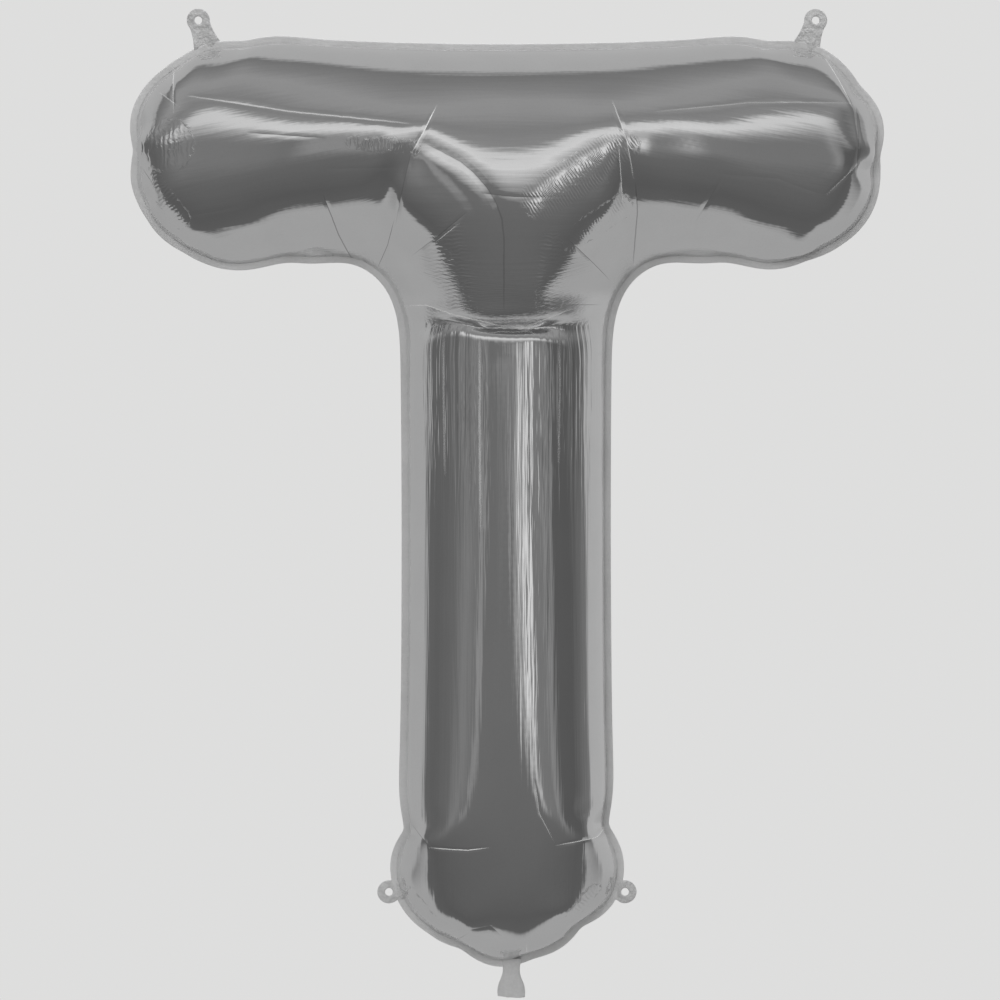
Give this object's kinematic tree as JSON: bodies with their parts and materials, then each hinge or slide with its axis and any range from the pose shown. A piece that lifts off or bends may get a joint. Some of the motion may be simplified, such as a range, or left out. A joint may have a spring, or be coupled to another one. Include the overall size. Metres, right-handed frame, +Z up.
{
  "type": "letter t foil balloon",
  "caption": "Inflated letter T party balloon of silver foil film, with a sealed seam band, punched hang tabs and a filling tail.",
  "frame": {"origin": "where the axes of the bar and the stem cross, in the plane of the seam", "axes": "+Z up along the stem to the bar, +X along the bar to the letter's right as read, -Y out of the letter's face"},
  "size_m": [0.7016, 0.2434, 0.918],
  "materials": {
    "silver_foil": "mirror-bright metallised film, lightly creased",
    "sealed_foil": "heat sealed metallised film, slightly duller",
    "valve_film": "thin clear valve film"
  },
  "bodies": {
    "root": {"front_panel": "silver_foil", "back_panel": "silver_foil", "seam_band": "sealed_foil", "hang_tab_top_left": "sealed_foil", "hang_tab_top_right": "sealed_foil", "hang_tab_foot_left": "sealed_foil", "hang_tab_foot_right": "sealed_foil", "fill_tail": "sealed_foil", "valve_strip": "valve_film"}
  },
  "joints": []
}
